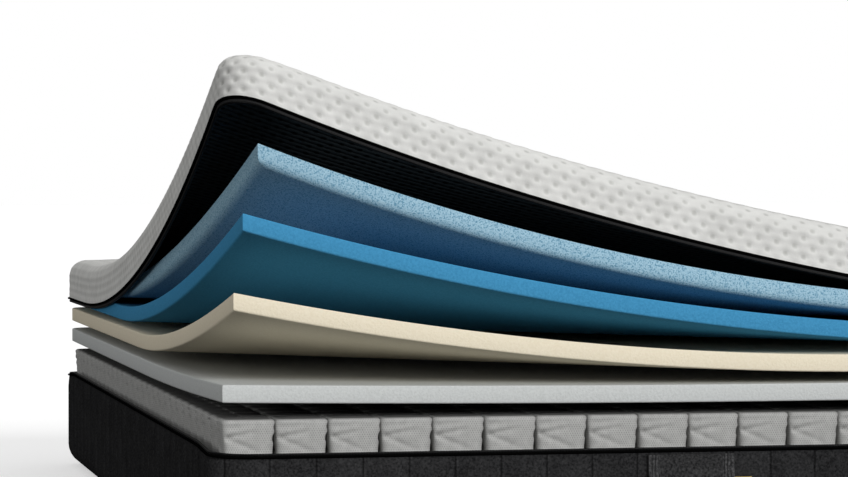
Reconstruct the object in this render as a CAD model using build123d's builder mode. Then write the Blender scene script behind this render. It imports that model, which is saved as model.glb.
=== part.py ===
from build123d import *
import math
import os

# A king size pocket-spring mattress with memory foam layers, opened up at its near left corner.
# Millimetres, +Z up, +X along the length, +Y away from the near long side.
# The origin is the centre of the underside.

os.makedirs("parts", exist_ok=True)

# --- Driving dimensions -------------------------------------------------------------------

LENGTH = 2000.0
WIDTH = 1500.0

PIPING_PROUD = 2.0
BORDER_T = 4.0
CORNER_R = 45.0
BOTTOM_R = 30.0
TRAY_BORDER_TOP = 125.5

STRIP_COUNT = 37
POCKETS_PER_STRIP = 28
STRIPS_PER_NODE = 2
SPRING_UNIT_INSET = 13.0
BASE_FOAM_T = 22.0
POCKET_H = 139.0
POCKET_WALL = 1.6
POCKET_GAP = 1.7
WEB_T = 4.0
COIL_WIRE = 2.0
COIL_TURNS = 5
COIL_R = 20.0
COIL_COUNT = 4

# Each sheet: underside height where it lies flat, thickness, lift of its near corner, how far
# the lift reaches along X and along Y, and how far the corner is drawn in as it curls. The two
# lower sheets are a little larger, because the two upper ones fit inside the cover.
LOWER_SHEET_INSET = 6.0
UPPER_SHEET_INSET = 8.0
SHEET_CORNER_R = 42.0
SUPPORT_FOAM = dict(z=176.0, t=18.0, lift=5.5, reach_x=600.0, reach_y=600.0, draw_in=7.0)
TRANSITION_FOAM = dict(z=205.0, t=18.0, lift=70.0, reach_x=700.0, reach_y=660.0, draw_in=20.0)
COMFORT_FOAM = dict(z=230.0, t=18.0, lift=126.5, reach_x=915.0, reach_y=875.0, draw_in=29.0)
GEL_FOAM = dict(z=255.0, t=20.0, lift=171.5, reach_x=926.0, reach_y=1000.0, draw_in=47.0)
COVER = dict(lift=260.0, reach_x=1371.0, reach_y=1250.0, draw_in=12.0)

COVER_BORDER_Z = 237.0
COVER_CEILING_Z = 280.0
COVER_TOP_Z = 292.0
LINING_T = 2.0

ZIP_TAPE_T = 1.5
ZIP_TAPE_H = 3.5
ZIP_TEETH_T = 3.0
ZIP_TEETH_H = 2.0
PIPING_H = 3.0

HANDLE_X = 509.0
HANDLE_W = 90.0
HANDLE_TOP = 123.0
HANDLE_BOTTOM = 12.0
HANDLE_PATCH_H = 13.0
HANDLE_T = 2.5
HANDLE_BOW = 6.6
BODY_GAP = 0.4

TAG_X = -455.0
TAG_W = 21.0
TAG_H = 45.0
TAG_TOP = 100.0
TAG_T = 1.5

SLIDER_Y = 640.0
SLIDER_LENGTH = 14.0
SLIDER_WALL = 1.8
PULL_PIN_R = 1.0
PULL_EYE_R = 2.2
PULL_EYE_BORE_R = 1.25
PULL_W = 10.0
PULL_T = 1.6
PULL_LENGTH = 26.0

# --- Sizes worked out from them -------------------------------------------------------------

TRAY_HALF_X = LENGTH / 2 - PIPING_PROUD
TRAY_HALF_Y = WIDTH / 2 - PIPING_PROUD
UNIT_HALF_X = LENGTH / 2 - SPRING_UNIT_INSET
UNIT_HALF_Y = WIDTH / 2 - SPRING_UNIT_INSET
STRIP_PITCH = 2 * UNIT_HALF_X / STRIP_COUNT
POCKET_PITCH = 2 * UNIT_HALF_Y / POCKETS_PER_STRIP
POCKET_R = (min(STRIP_PITCH, POCKET_PITCH) - POCKET_GAP) / 2
POCKET_Z = BORDER_T + BASE_FOAM_T
BASE_FOAM_GAP = TRAY_HALF_X - UNIT_HALF_X
BASE_FOAM_CORNER_R = CORNER_R - BASE_FOAM_GAP
BASE_FOAM_EDGE_R = BOTTOM_R - BASE_FOAM_GAP
REACH = LENGTH + WIDTH


def save(piece, name):
    """Label one finished piece and write its STEP file."""
    piece.part.label = name
    export_step(piece.part, f"parts/{name}.step")
    print(f"{name}: {len(piece.part.solids())} solids, {piece.part.volume / 1000:.1f} cm3")


# --- Zipped lower cover: base panel and four border panels ------------------------------------

with BuildPart() as tray_shell:
    with BuildSketch():
        RectangleRounded(2 * TRAY_HALF_X, 2 * TRAY_HALF_Y, CORNER_R)
    extrude(amount=TRAY_BORDER_TOP)
    fillet(tray_shell.faces().sort_by(Axis.Z)[0].edges(), BOTTOM_R)
    offset(amount=-BORDER_T, openings=tray_shell.faces().sort_by(Axis.Z)[-1])

FLAT_HALF_X = TRAY_HALF_X - BOTTOM_R
FLAT_HALF_Y = TRAY_HALF_Y - BOTTOM_R

with BuildPart() as base_panel:
    add(tray_shell.part)
    with BuildSketch():
        RectangleRounded(2 * FLAT_HALF_X, 2 * FLAT_HALF_Y, CORNER_R - BOTTOM_R)
    extrude(amount=BORDER_T, mode=Mode.INTERSECT)
save(base_panel, "base_panel")


def border_panel(half_long, half_short, turn):
    """One side of the tray, mitred at the corner seams, with its lower edge rolled under."""
    far = half_long + half_short
    with BuildPart() as panel:
        add(tray_shell.part)
        with BuildSketch():
            with BuildLine(Plane.XY.rotated((0, 0, turn))):
                Polyline(
                    (-half_long - half_short, -half_short - half_short),
                    (half_long + half_short, -half_short - half_short),
                    (half_long - half_short / 2, -half_short / 2),
                    (-half_long + half_short / 2, -half_short / 2),
                    close=True,
                )
            make_face()
        extrude(amount=far, both=True, mode=Mode.INTERSECT)
        with BuildSketch():
            RectangleRounded(2 * FLAT_HALF_X, 2 * FLAT_HALF_Y, CORNER_R - BOTTOM_R)
        extrude(amount=2 * BORDER_T, both=True, mode=Mode.SUBTRACT)
    return panel


save(border_panel(TRAY_HALF_X, TRAY_HALF_Y, 0), "front_border")
save(border_panel(TRAY_HALF_X, TRAY_HALF_Y, 180), "rear_border")
save(border_panel(TRAY_HALF_Y, TRAY_HALF_X, -90), "left_border")
save(border_panel(TRAY_HALF_Y, TRAY_HALF_X, 90), "right_border")


# --- Rim of the tray: piping, zip tape and zip teeth -----------------------------------------

ZIP_TAPE_INSET = PIPING_PROUD + (ZIP_TEETH_T - ZIP_TAPE_T) / 2
TEETH_Z = TRAY_BORDER_TOP + ZIP_TAPE_H


def tray_band(inset, thickness, bottom, height):
    """A closed band that follows the tray's plan outline, inset from the mattress's outer face."""
    with BuildPart() as band:
        with BuildSketch(Plane.XY.offset(bottom)):
            half_x = LENGTH / 2 - inset
            half_y = WIDTH / 2 - inset
            radius = CORNER_R + PIPING_PROUD - inset
            inner_x = half_x - thickness
            inner_y = half_y - thickness
            RectangleRounded(2 * half_x, 2 * half_y, radius)
            RectangleRounded(2 * inner_x, 2 * inner_y, radius - thickness, mode=Mode.SUBTRACT)
        extrude(amount=height)
    return band


save(tray_band(0, PIPING_PROUD, TRAY_BORDER_TOP - PIPING_H / 2, PIPING_H), "rim_piping")
save(tray_band(ZIP_TAPE_INSET, ZIP_TAPE_T, TRAY_BORDER_TOP, ZIP_TAPE_H), "lower_zip_tape")
save(tray_band(PIPING_PROUD, ZIP_TEETH_T, TEETH_Z, ZIP_TEETH_H), "lower_zip_teeth")


# --- Base foam that the spring unit stands on -------------------------------------------------

with BuildPart() as base_foam:
    with BuildSketch(Plane.XY.offset(BORDER_T)):
        RectangleRounded(2 * UNIT_HALF_X, 2 * UNIT_HALF_Y, BASE_FOAM_CORNER_R)
    extrude(amount=BASE_FOAM_T)
    fillet(base_foam.faces().sort_by(Axis.Z)[0].edges(), BASE_FOAM_EDGE_R)
save(base_foam, "base_foam")


# --- Pocket springs: strips of fabric pockets, each pocket open below and round a coil ---------


def pocket_strips(first, last):
    """Neighbouring strips, first to last, each a row of pockets joined by a welded web."""
    with BuildPart() as strips:
        for index in range(first, last + 1):
            x = -UNIT_HALF_X + (index + 0.5) * STRIP_PITCH
            with BuildSketch(Plane.XY.offset(POCKET_Z)):
                with Locations((x, 0)):
                    Rectangle(WEB_T, 2 * UNIT_HALF_Y - POCKET_PITCH)
                    with GridLocations(0, POCKET_PITCH, 1, POCKETS_PER_STRIP):
                        Circle(POCKET_R)
            extrude(amount=POCKET_H)
            with BuildSketch(Plane.XY.offset(POCKET_Z)):
                with Locations((x, 0)):
                    with GridLocations(0, POCKET_PITCH, 1, POCKETS_PER_STRIP):
                        Circle(POCKET_R - POCKET_WALL)
            extrude(amount=POCKET_H - POCKET_WALL, mode=Mode.SUBTRACT)
    return strips


for node, first in enumerate(range(0, STRIP_COUNT, STRIPS_PER_NODE), start=1):
    last = min(first + STRIPS_PER_NODE, STRIP_COUNT) - 1
    save(pocket_strips(first, last), f"pocket_strips_{node:02d}")

# Coils in the front pockets of the first strips, at the opened corner.
COIL_CLEAR = 1.0
COIL_H = POCKET_H - POCKET_WALL - COIL_WIRE - 2 * COIL_CLEAR
COIL_Z = POCKET_Z + COIL_CLEAR + COIL_WIRE / 2
FRONT_POCKET_Y = -UNIT_HALF_Y + POCKET_PITCH / 2

with BuildPart() as one_coil:
    with BuildLine() as coil_path:
        Helix(pitch=COIL_H / COIL_TURNS, height=COIL_H, radius=COIL_R)
    with BuildSketch(Plane(origin=coil_path.line @ 0, z_dir=coil_path.line % 0)):
        Circle(COIL_WIRE / 2)
    sweep()

with BuildPart() as spring_coils:
    for index in range(COIL_COUNT):
        x = -UNIT_HALF_X + (index + 0.5) * STRIP_PITCH
        with Locations((x, FRONT_POCKET_Y, COIL_Z)):
            add(one_coil.part)
save(spring_coils, "spring_coils")


# --- Foam sheets and cover: curled slabs -------------------------------------------------------


def curl_profile(z, t, lift, reach_x, reach_y, draw_in):
    """Side view of a curled slab, extruded along its fold lines.

    The slab is flat, then rises on an arc towards the near left corner. The fold lines run
    across the corner, at an angle set by how far the lift reaches along each side.
    """
    run = 1 / math.hypot(1 / reach_x, 1 / reach_y)
    across = Vector(run / reach_x, run / reach_y, 0)
    corner_run = draw_in * (across.X + across.Y)
    radius = ((run - corner_run) ** 2 + lift**2) / (2 * lift)
    past_corner = 15.0
    angle = math.asin((run + past_corner) / radius)
    end_run = run - radius * math.sin(angle)
    end_z = z + radius * (1 - math.cos(angle))
    side = Plane((-LENGTH / 2, -WIDTH / 2, 0), x_dir=across, z_dir=(across.Y, -across.X, 0))
    with BuildSketch(side) as profile:
        with BuildLine():
            Line((REACH, z), (run, z))
            TangentArc((run, z), (end_run, end_z), tangent=(-1, 0))
            Line((end_run, end_z), (end_run, end_z + t))
            TangentArc((run, z + t), (end_run, end_z + t), tangent=(-1, 0))
            Line((run, z + t), (REACH, z + t))
            Line((REACH, z + t), (REACH, z))
        make_face()
    extrude(profile.sketch, amount=REACH, both=True)


def drawn_in_plan(half_x, half_y, reach_x, reach_y, draw_in, corner_r, curled_corner_r):
    """Plan of a sheet whose near left corner is pulled in along two long soft curves."""
    near_left = (-half_x + draw_in, -half_y + draw_in)
    near_right = (half_x, -half_y)
    far_left = (-half_x, half_y)
    far_right = (half_x, half_y)
    front = (-half_x + reach_x, -half_y)
    left = (-half_x, -half_y + reach_y)
    with BuildSketch(mode=Mode.PRIVATE) as plan:
        with BuildLine():
            TangentArc(front, near_left, tangent=(-1, 0))
            TangentArc(left, near_left, tangent=(0, -1))
            Polyline(left, far_left, far_right, near_right, front)
        make_face()
        for corner in (near_right, far_left, far_right):
            fillet(plan.vertices().sort_by_distance(corner)[0], corner_r)
        if curled_corner_r:
            fillet(plan.vertices().sort_by_distance(near_left)[0], curled_corner_r)
    return plan.sketch


def foam_sheet(inset, z, t, lift, reach_x, reach_y, draw_in):
    """A foam sheet with square edges, a sharp curled corner and three rounded ones."""
    half_x = LENGTH / 2 - inset
    half_y = WIDTH / 2 - inset
    plan = drawn_in_plan(half_x, half_y, reach_x, reach_y, draw_in, SHEET_CORNER_R, 0)
    with BuildPart() as sheet:
        curl_profile(z, t, lift, reach_x, reach_y, draw_in)
        extrude(plan, amount=REACH, mode=Mode.INTERSECT)
    return sheet


save(foam_sheet(LOWER_SHEET_INSET, **SUPPORT_FOAM), "support_foam")
save(foam_sheet(LOWER_SHEET_INSET, **TRANSITION_FOAM), "transition_foam")
save(foam_sheet(UPPER_SHEET_INSET, **COMFORT_FOAM), "comfort_foam")
save(foam_sheet(UPPER_SHEET_INSET, **GEL_FOAM), "gel_memory_foam")


# --- Zip-off upper cover: top panel, border, lining, piping, zip tape and teeth ----------------


def cover_plan(inset):
    """The cover's plan outline, inset from the mattress's outer face."""
    half_x = LENGTH / 2 - inset
    half_y = WIDTH / 2 - inset
    corner_r = CORNER_R + PIPING_PROUD - inset
    reach_x, reach_y = COVER["reach_x"], COVER["reach_y"]
    return drawn_in_plan(
        half_x, half_y, reach_x, reach_y, COVER["draw_in"], corner_r, corner_r
    )


def cover_panel(inset, bottom, top):
    """A full panel of the cover between two heights."""
    with BuildPart() as panel:
        curl_profile(bottom, top - bottom, **COVER)
        extrude(cover_plan(inset), amount=REACH, mode=Mode.INTERSECT)
    return panel


def cover_band(inset, thickness, bottom, top):
    """A closed band of the cover's side between two heights."""
    with BuildPart() as band:
        add(cover_panel(inset, bottom, top).part)
        extrude(cover_plan(inset + thickness), amount=REACH, mode=Mode.SUBTRACT)
    return band


cover_tape_z = COVER_BORDER_Z - ZIP_TAPE_H
cover_teeth_z = cover_tape_z - ZIP_TEETH_H
piping_top = COVER_BORDER_Z + PIPING_H / 2
lining_inset = PIPING_PROUD + BORDER_T

save(cover_panel(PIPING_PROUD, COVER_CEILING_Z, COVER_TOP_Z), "cover_top")
save(cover_panel(lining_inset, COVER_CEILING_Z - LINING_T, COVER_CEILING_Z), "cover_lining")
save(cover_band(PIPING_PROUD, BORDER_T, COVER_BORDER_Z, COVER_CEILING_Z), "cover_border")
save(cover_band(0, PIPING_PROUD, piping_top - PIPING_H, piping_top), "cover_piping")
save(cover_band(ZIP_TAPE_INSET, ZIP_TAPE_T, cover_tape_z, COVER_BORDER_Z), "upper_zip_tape")
save(cover_band(PIPING_PROUD, ZIP_TEETH_T, cover_teeth_z, cover_tape_z), "upper_zip_teeth")


# --- Carry handles: a strap bowed off the border, sewn down at a patch above and below ----------

strap_low = HANDLE_BOTTOM + HANDLE_PATCH_H + BODY_GAP
strap_high = HANDLE_TOP - HANDLE_PATCH_H - BODY_GAP
strap_middle = (strap_low + strap_high) / 2


def handle_strap(side_x, facing):
    """The free part of one strap. facing is -1 on the near side and 1 on the far side."""
    inner = TRAY_HALF_Y + BODY_GAP
    outer = inner + HANDLE_T
    with BuildPart() as strap:
        with BuildSketch(Plane.YZ.offset(side_x - HANDLE_W / 2)):
            with BuildLine():
                ThreePointArc(
                    (facing * inner, strap_low),
                    (facing * (inner + HANDLE_BOW), strap_middle),
                    (facing * inner, strap_high),
                )
                ThreePointArc(
                    (facing * outer, strap_low),
                    (facing * (outer + HANDLE_BOW), strap_middle),
                    (facing * outer, strap_high),
                )
                Line((facing * inner, strap_low), (facing * outer, strap_low))
                Line((facing * inner, strap_high), (facing * outer, strap_high))
            make_face()
        extrude(amount=HANDLE_W)
    return strap


save(handle_strap(-HANDLE_X, -1), "front_left_handle")
save(handle_strap(HANDLE_X, -1), "front_right_handle")
save(handle_strap(-HANDLE_X, 1), "rear_left_handle")
save(handle_strap(HANDLE_X, 1), "rear_right_handle")

patch_y = TRAY_HALF_Y + HANDLE_T / 2
lower_patch_z = HANDLE_BOTTOM + HANDLE_PATCH_H / 2
upper_patch_z = HANDLE_TOP - HANDLE_PATCH_H / 2


def handle_patches(patch_z):
    """The four straps' sewn ends at one height, as separate solids."""
    with BuildPart() as patches:
        with Locations(
            (-HANDLE_X, -patch_y, patch_z),
            (HANDLE_X, -patch_y, patch_z),
            (-HANDLE_X, patch_y, patch_z),
            (HANDLE_X, patch_y, patch_z),
        ):
            Box(HANDLE_W, HANDLE_T, HANDLE_PATCH_H)
    return patches


save(handle_patches(upper_patch_z), "handle_upper_ends")
save(handle_patches(lower_patch_z), "handle_lower_ends")


# --- Side tag: a plain folded label sewn to the near border --------------------------------------

with BuildPart() as side_tag:
    with Locations((TAG_X, -TRAY_HALF_Y - TAG_T / 2, TAG_TOP - TAG_H / 2)):
        Box(TAG_W, TAG_T, TAG_H)
save(side_tag, "side_tag")


# --- Zip slider on the right border's teeth, and its pull tab ------------------------------------

teeth_x = LENGTH / 2 - PIPING_PROUD - ZIP_TEETH_T / 2
slider_half = ZIP_TEETH_T / 2 + BODY_GAP + SLIDER_WALL
slider_low = TRAY_BORDER_TOP + PIPING_H / 2 + BODY_GAP
slider_high = TEETH_Z + ZIP_TEETH_H + BODY_GAP + SLIDER_WALL
pin_x = teeth_x + slider_half + PULL_EYE_R + BODY_GAP
pin_z = slider_high - PULL_EYE_R
EYE_W = 5.0
LUG_T = 1.5
lug_y = EYE_W / 2 + BODY_GAP + LUG_T / 2

with BuildPart() as zip_slider:
    with BuildSketch(Plane.XZ.offset(-SLIDER_Y - SLIDER_LENGTH / 2)):
        with Locations((teeth_x, (slider_low + slider_high) / 2)):
            Rectangle(2 * slider_half, slider_high - slider_low)
        with Locations((teeth_x, TEETH_Z + ZIP_TEETH_H / 2)):
            Rectangle(
                ZIP_TEETH_T + 2 * BODY_GAP, ZIP_TEETH_H + 2 * BODY_GAP, mode=Mode.SUBTRACT
            )
        with Locations((teeth_x, TEETH_Z)):
            Rectangle(
                ZIP_TAPE_T + 2 * BODY_GAP,
                2 * (TEETH_Z - slider_low),
                mode=Mode.SUBTRACT,
            )
    extrude(amount=SLIDER_LENGTH)
    for side in (-1, 1):
        with BuildSketch(Plane.XZ.offset(-SLIDER_Y - side * lug_y - LUG_T / 2)):
            with Locations((pin_x, pin_z)):
                Circle(PULL_EYE_R)
            with Locations(((teeth_x + slider_half + pin_x) / 2, pin_z)):
                Rectangle(pin_x - teeth_x - slider_half, 2 * PULL_EYE_R)
        extrude(amount=LUG_T)
    with BuildSketch(Plane.XZ.offset(-SLIDER_Y - EYE_W / 2 - BODY_GAP)):
        with Locations((pin_x, pin_z)):
            Circle(PULL_PIN_R)
    extrude(amount=EYE_W + 2 * BODY_GAP)
save(zip_slider, "zip_slider")

with BuildPart() as zip_pull_tab:
    with BuildSketch(Plane.XZ.offset(-SLIDER_Y - EYE_W / 2)):
        with Locations((pin_x, pin_z)):
            Circle(PULL_EYE_R)
        with Locations((pin_x, pin_z - PULL_LENGTH / 4)):
            Rectangle(PULL_T, PULL_LENGTH / 2)
        with Locations((pin_x, pin_z)):
            Circle(PULL_EYE_BORE_R, mode=Mode.SUBTRACT)
    extrude(amount=EYE_W)
    with BuildSketch(Plane.YZ.offset(pin_x - PULL_T / 2)):
        with Locations((SLIDER_Y, pin_z - (PULL_LENGTH + 2 * PULL_EYE_R) / 2)):
            RectangleRounded(PULL_W, PULL_LENGTH - 2 * PULL_EYE_R, PULL_W / 4)
    extrude(amount=PULL_T)
save(zip_pull_tab, "zip_pull_tab")
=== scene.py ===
import math
import random

import bmesh
import bpy
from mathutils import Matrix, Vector, noise


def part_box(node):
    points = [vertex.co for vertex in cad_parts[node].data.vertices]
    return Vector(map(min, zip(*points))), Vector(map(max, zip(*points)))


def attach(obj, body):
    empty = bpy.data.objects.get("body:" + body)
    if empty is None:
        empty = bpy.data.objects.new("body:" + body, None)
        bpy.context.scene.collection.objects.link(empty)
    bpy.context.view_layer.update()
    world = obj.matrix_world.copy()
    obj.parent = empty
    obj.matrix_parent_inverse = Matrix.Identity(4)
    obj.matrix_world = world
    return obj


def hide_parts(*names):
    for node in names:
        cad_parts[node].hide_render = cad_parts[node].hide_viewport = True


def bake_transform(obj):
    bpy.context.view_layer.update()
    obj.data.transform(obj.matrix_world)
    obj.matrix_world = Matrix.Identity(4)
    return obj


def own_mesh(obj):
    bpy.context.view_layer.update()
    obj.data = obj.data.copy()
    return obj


# A king size pocket-spring and memory foam mattress, opened layer by layer at its near left
# corner. Metres, in the CAD model's frame: +X along the length, +Y away from the near long
# side, +Z up, and the origin at the centre of the underside.

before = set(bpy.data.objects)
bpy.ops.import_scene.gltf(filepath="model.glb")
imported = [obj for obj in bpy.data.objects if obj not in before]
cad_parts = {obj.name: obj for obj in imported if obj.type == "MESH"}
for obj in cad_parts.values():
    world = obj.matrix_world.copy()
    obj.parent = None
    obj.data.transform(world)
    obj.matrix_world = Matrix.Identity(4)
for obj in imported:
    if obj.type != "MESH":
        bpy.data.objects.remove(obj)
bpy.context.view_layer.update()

# --- Camera ---------------------------------------------------------------------------------
# A long lens a little above the mattress, looking along the short side past the opened corner.

near_left = Vector((-1.0, -0.75, 0.0))
camera_data = bpy.data.cameras.new("camera")
camera_data.sensor_width = 36.0
camera_data.lens = 139.9
camera = bpy.data.objects.new("camera", camera_data)
camera.location = near_left + Vector((-0.453, -3.219, 0.397))
camera.rotation_euler = (math.radians(90 - 0.927), 0.0, math.radians(-11.707))
bpy.context.scene.collection.objects.link(camera)
bpy.context.scene.camera = camera
bpy.context.scene.view_settings.view_transform = "Standard"

# --- Studio ---------------------------------------------------------------------------------
# A white sweep that glows a little, a pale surround that is darker low down, a soft key light
# from the near right and a weak low fill from the near left, so that gaps go black.

world = bpy.data.worlds.new("studio")
world.use_nodes = True
world_nodes = world.node_tree.nodes
world_links = world.node_tree.links
surround = world_nodes["Background"]
surround.inputs["Color"].default_value = (1.0, 1.0, 1.0, 1.0)
backdrop_glow = world_nodes.new("ShaderNodeBackground")
backdrop_glow.inputs["Strength"].default_value = 1.0
backdrop_glow.inputs["Color"].default_value = (1.0, 1.0, 1.0, 1.0)
direction = world_nodes.new("ShaderNodeTexCoord")
height_of_ray = world_nodes.new("ShaderNodeSeparateXYZ")
world_links.new(direction.outputs["Generated"], height_of_ray.inputs[0])
sky_fade = world_nodes.new("ShaderNodeMapRange")
for number, value in enumerate((-0.15, 0.5, 0.02, 0.38), start=1):
    sky_fade.inputs[number].default_value = value
world_links.new(height_of_ray.outputs["Z"], sky_fade.inputs[0])
world_links.new(sky_fade.outputs[0], surround.inputs["Strength"])
ray = world_nodes.new("ShaderNodeLightPath")
world_mix = world_nodes.new("ShaderNodeMixShader")
world_links.new(ray.outputs["Is Camera Ray"], world_mix.inputs[0])
world_links.new(surround.outputs[0], world_mix.inputs[1])
world_links.new(backdrop_glow.outputs[0], world_mix.inputs[2])
world_links.new(world_mix.outputs[0], world_nodes["World Output"].inputs["Surface"])
bpy.context.scene.world = world

key_data = bpy.data.lights.new("key", "SUN")
key_data.energy = 2.2
key_data.angle = math.radians(22)
key = bpy.data.objects.new("key", key_data)
key.rotation_euler = Vector((-0.33, 0.86, -0.34)).to_track_quat("-Z", "Y").to_euler()
bpy.context.scene.collection.objects.link(key)

fill_data = bpy.data.lights.new("fill", "SUN")
fill_data.energy = 1.0
fill_data.angle = math.radians(40)
fill = bpy.data.objects.new("fill", fill_data)
fill.rotation_euler = Vector((0.85, 0.50, -0.01)).to_track_quat("-Z", "Y").to_euler()
bpy.context.scene.collection.objects.link(fill)

floor_mesh = bmesh.new()
bmesh.ops.create_grid(floor_mesh, x_segments=2, y_segments=2, size=60.0)
floor_data = bpy.data.meshes.new("floor")
floor_mesh.to_mesh(floor_data)
floor = bpy.data.objects.new("floor", floor_data)
floor.visible_diffuse = False
floor.visible_glossy = False
bpy.context.scene.collection.objects.link(floor)

# --- Lower cover: quilted border panels -------------------------------------------------------
# Four charcoal knitted panels, quilted to wadding in upright channels, sewn together at the
# corners and rolled under the base. Each is one grid bent round the outline, then thickened.

LENGTH = 2.0
WIDTH = 1.5
PIPING_PROUD = 0.002
CORNER_R = 0.045
BOTTOM_R = 0.030
TRAY_TOP = 0.126
END_RISE = 0.005
CHANNEL = 0.0466
CHANNEL_PUFF = 0.0015
PANEL_T = 0.003
TRAY_HALF = (LENGTH / 2 - PIPING_PROUD, WIDTH / 2 - PIPING_PROUD)


def linear(colour):
    """An sRGB hex colour as linear RGBA."""
    values = [int(colour[i : i + 2], 16) / 255 for i in (1, 3, 5)]
    return [v / 12.92 if v <= 0.04045 else ((v + 0.055) / 1.055) ** 2.4 for v in values] + [1.0]


def add_node(tree, kind, values=None, links=None):
    """Add a node, set its inputs or settings by name or number, and link sockets into it."""
    node = tree.nodes.new(kind)
    for key, value in (values or {}).items():
        if isinstance(key, int) or key in node.inputs:
            node.inputs[key].default_value = value
        else:
            setattr(node, key, value)
    for key, socket in (links or {}).items():
        tree.links.new(socket, node.inputs[key])
    return node


def start_material(name, roughness, coordinates="Object"):
    """A new material with its shader and the coordinates that its patterns read."""
    material = bpy.data.materials.new(name)
    material.use_nodes = True
    tree = material.node_tree
    shader = tree.nodes["Principled BSDF"]
    shader.inputs["Roughness"].default_value = roughness
    place = add_node(tree, "ShaderNodeTexCoord").outputs[coordinates]
    return material, tree, shader, place


def finish_piece(bm, name, body, material, replaces=(), smooth=True):
    """Turn a bmesh into a piece that rides on a body and stands for its CAD nodes."""
    bmesh.ops.recalc_face_normals(bm, faces=bm.faces)
    if sum(f.normal.dot(f.calc_center_median()) * f.calc_area() for f in bm.faces) < 0:
        bmesh.ops.reverse_faces(bm, faces=bm.faces)
    data = bpy.data.meshes.new(name)
    bm.to_mesh(data)
    bm.free()
    data.materials.append(material)
    if smooth:
        data.shade_smooth()
    else:
        data.shade_flat()
    piece = bpy.data.objects.new(name, data)
    bpy.context.scene.collection.objects.link(piece)
    if body:
        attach(piece, body)
    if replaces:
        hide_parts(*replaces)
    return piece


def outline_point(s, half_x, half_y, radius):
    """Point and outward direction at distance s round a rounded rectangle.

    s runs anticlockwise from the middle of the near left corner's arc.
    """
    arc = radius * math.pi / 2
    run_x = 2 * (half_x - radius)
    run_y = 2 * (half_y - radius)
    corners = [
        (half_x - radius, -half_y + radius, -90),
        (half_x - radius, half_y - radius, 0),
        (-half_x + radius, half_y - radius, 90),
        (-half_x + radius, -half_y + radius, 180),
    ]
    s = (s + arc / 2) % (2 * run_x + 2 * run_y + 4 * arc)
    if s < arc:
        turn = math.radians(180 + 90 * s / arc)
        out = Vector((math.cos(turn), math.sin(turn)))
        return Vector((-half_x + radius, -half_y + radius)) + radius * out, out
    s -= arc
    for (centre_x, centre_y, start), run in zip(corners, (run_x, run_y, run_x, run_y)):
        out = Vector((math.cos(math.radians(start)), math.sin(math.radians(start))))
        if s <= run:
            along = Vector((-out.y, out.x))
            end = Vector((centre_x, centre_y)) + radius * out
            return end - along * (run - s), out
        s -= run
        if s < arc:
            turn = math.radians(start) + s / radius
            out = Vector((math.cos(turn), math.sin(turn)))
            return Vector((centre_x, centre_y)) + radius * out, out
        s -= arc
    return outline_point(0, half_x, half_y, radius)


def outline_length(half_x, half_y, radius):
    return 4 * (half_x + half_y - 2 * radius) + 2 * math.pi * radius


def band(start, end, columns, rows, profile, half=TRAY_HALF, radius=CORNER_R):
    """A grid bent round an outline. profile(along, across) gives (inset, height) of a vertex.

    Its UV map holds metres along the outline and metres across the profile.
    """
    bm = bmesh.new()
    bmesh.ops.create_grid(bm, x_segments=columns, y_segments=rows, size=0.5)
    uv = bm.loops.layers.uv.new("surface")
    spots = {v: (v.co.x + 0.5, v.co.y + 0.5) for v in bm.verts}
    across_length = sum(math.dist(profile(0, i / 40), profile(0, (i + 1) / 40)) for i in range(40))
    for face in bm.faces:
        for loop in face.loops:
            u, v = spots[loop.vert]
            loop[uv].uv = (start + u * (end - start), v * across_length)
    for vertex, (u, v) in spots.items():
        s = start + u * (end - start)
        point, out = outline_point(s, half[0], half[1], radius)
        inset, height = profile(s, v)
        vertex.co = (*(point - inset * out), height)
    return bm


def tray_profile(s, v):
    """From the rim straight down, round the bottom edge and a little way in under the base."""
    wall = TRAY_TOP - BOTTOM_R
    arc = BOTTOM_R * math.pi / 2
    under = 0.004
    d = v * (wall + arc + under)
    puff = CHANNEL_PUFF * abs(math.sin(math.pi * (s - seam_start) / channel)) ** 0.35
    puff *= min(1.0, 12 * v, 6 * (1 - v))
    if d < wall:
        return -puff, TRAY_TOP - d
    if d < wall + arc:
        turn = (d - wall) / BOTTOM_R
        reach = BOTTOM_R + puff
        return BOTTOM_R - reach * math.cos(turn), BOTTOM_R - reach * math.sin(turn) + puff
    return BOTTOM_R + d - wall - arc, 0.0


def raise_end(bm):
    """The rim rides up a little at the end where the mattress is opened."""
    for vertex in bm.verts:
        x, y, z = vertex.co
        if x < CORNER_R - TRAY_HALF[0]:
            along = min(1.0, max(0.0, (TRAY_HALF[1] - abs(y)) / CORNER_R / 3))
            upper = min(1.0, max(0.0, 2 * z / TRAY_TOP - 1))
            vertex.co.z += END_RISE * upper * along * along * (3 - 2 * along)


tray_fabric, tree, shader, place = start_material("charcoal_melange_knit", 0.92)
# Yarns dyed before knitting, so light and dark fibres mix in flecks about a millimetre long.
# The quilting lines carry painted shade: darkest along each groove, lighter towards one side of each
# channel. The UV map counts in channels along the panel.
fleck = add_node(
    tree, "ShaderNodeTexNoise", {"Scale": 420.0, "Detail": 3.0, "Roughness": 0.7}, {"Vector": place}
)
patch = add_node(tree, "ShaderNodeTexNoise", {"Scale": 22.0, "Detail": 2.0}, {"Vector": place})
both = add_node(
    tree,
    "ShaderNodeMath",
    {"operation": "MULTIPLY_ADD", 1: 0.25},
    {0: patch.outputs["Fac"], 2: fleck.outputs["Fac"]},
)
yarn = add_node(tree, "ShaderNodeValToRGB", {}, {"Fac": both.outputs[0]})
yarn.color_ramp.elements[0].position = 0.45
yarn.color_ramp.elements[0].color = linear("#1d1d1e")
yarn.color_ramp.elements[1].position = 0.85
yarn.color_ramp.elements[1].color = linear("#404041")
surface = add_node(tree, "ShaderNodeUVMap", {"uv_map": "surface"})
channel_place = add_node(tree, "ShaderNodeSeparateXYZ", {}, {"Vector": surface.outputs["UV"]})
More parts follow.
